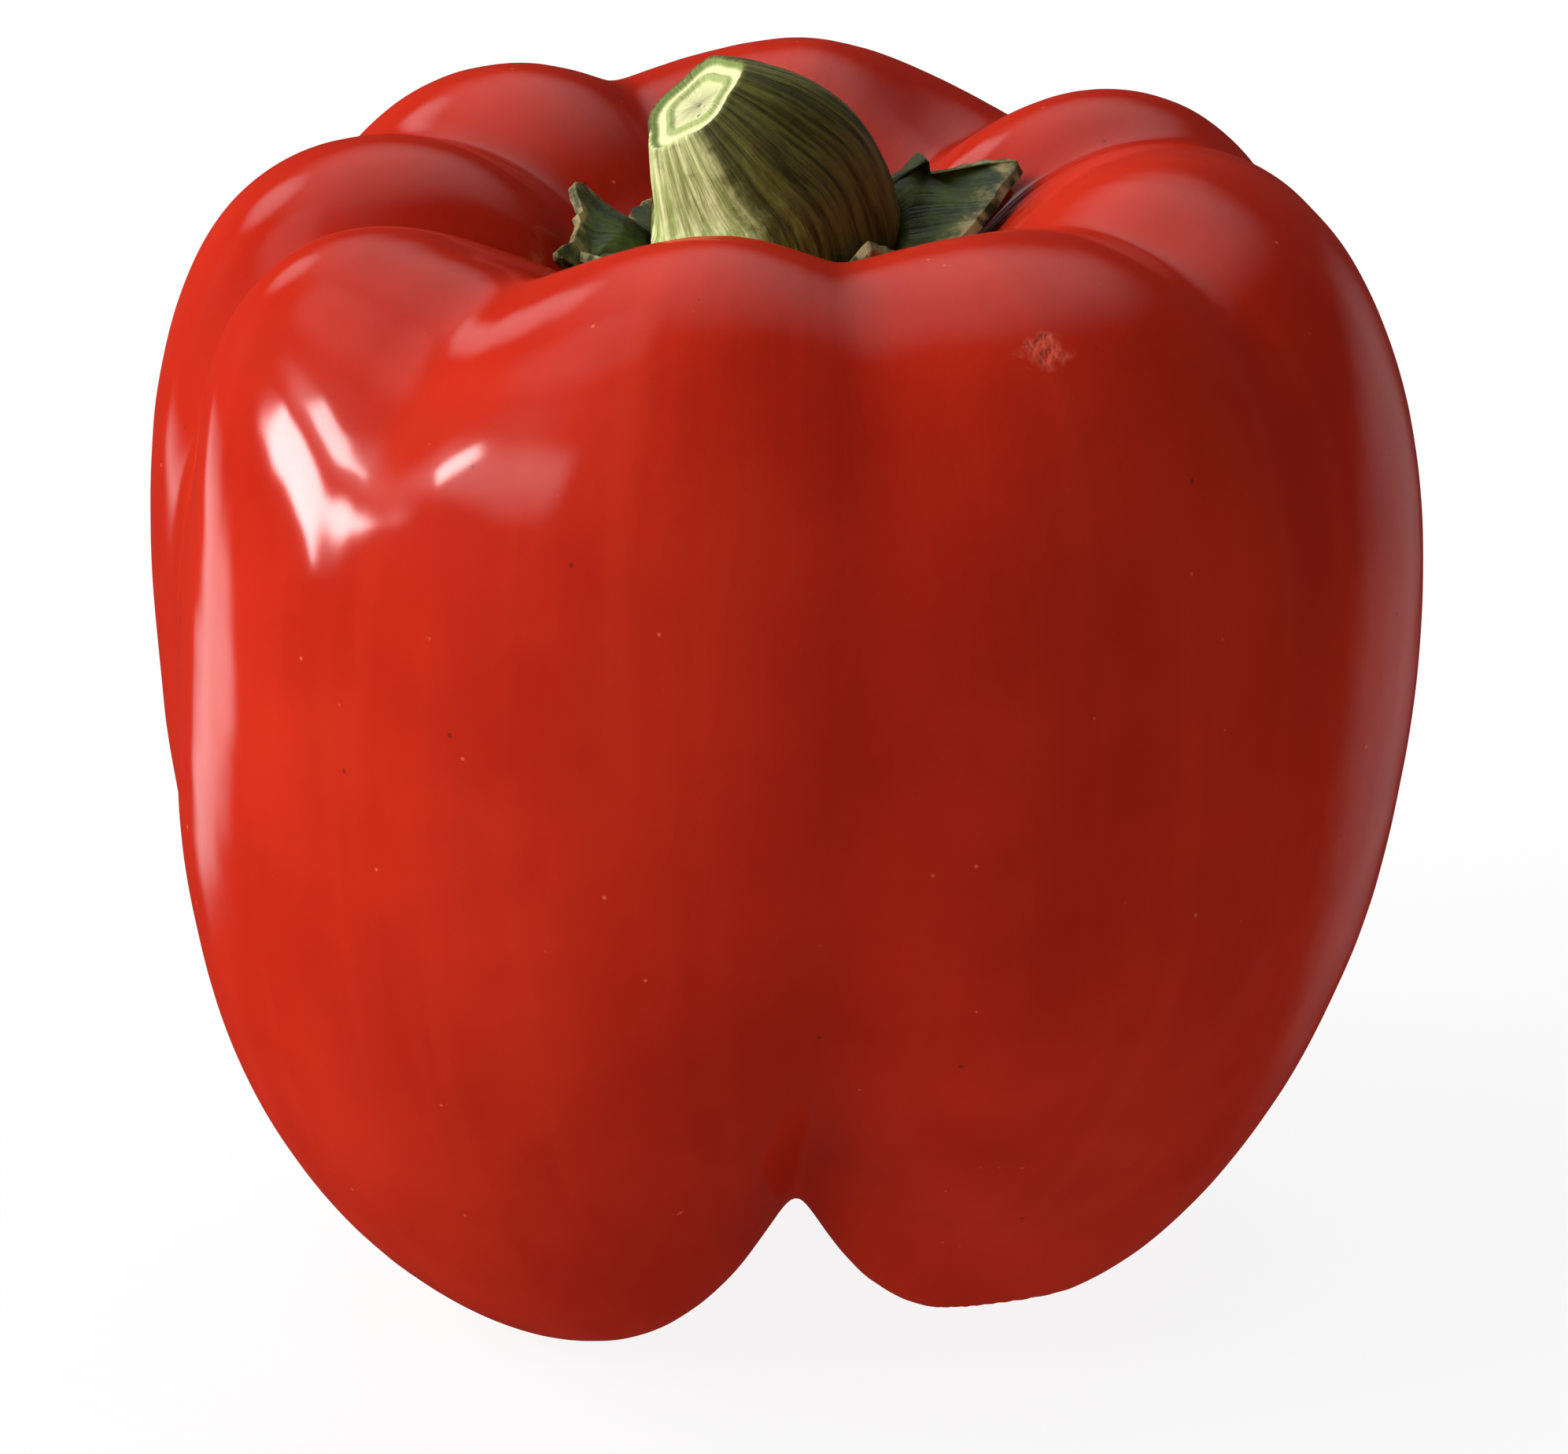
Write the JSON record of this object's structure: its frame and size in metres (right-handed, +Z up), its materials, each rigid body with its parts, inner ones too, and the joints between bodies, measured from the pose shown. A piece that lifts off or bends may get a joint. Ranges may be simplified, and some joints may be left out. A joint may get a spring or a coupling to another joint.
{
  "type": "bell pepper",
  "caption": "Whole ripe red bell pepper with rounded lobes, a sunken crown and a short cut green stalk with its calyx; it stands upright on the tips of its lobes.",
  "frame": {"origin": "centre of the fruit's footprint box, on the surface that its lobe tips stand on", "axes": "+Z up along the fruit towards the stalk, -Y towards the side seen in the picture, +X to that side's right"},
  "size_m": [0.091, 0.0916, 0.0898],
  "materials": {
    "red_skin": "glossy waxy fruit skin, deep red, smooth",
    "green_stem": "matte fibrous plant tissue, green, with a pale yellow-green cut end and dry pale edges"
  },
  "bodies": {
    "root": {"fruit": "red_skin", "stem_with_calyx": "green_stem"}
  },
  "joints": []
}
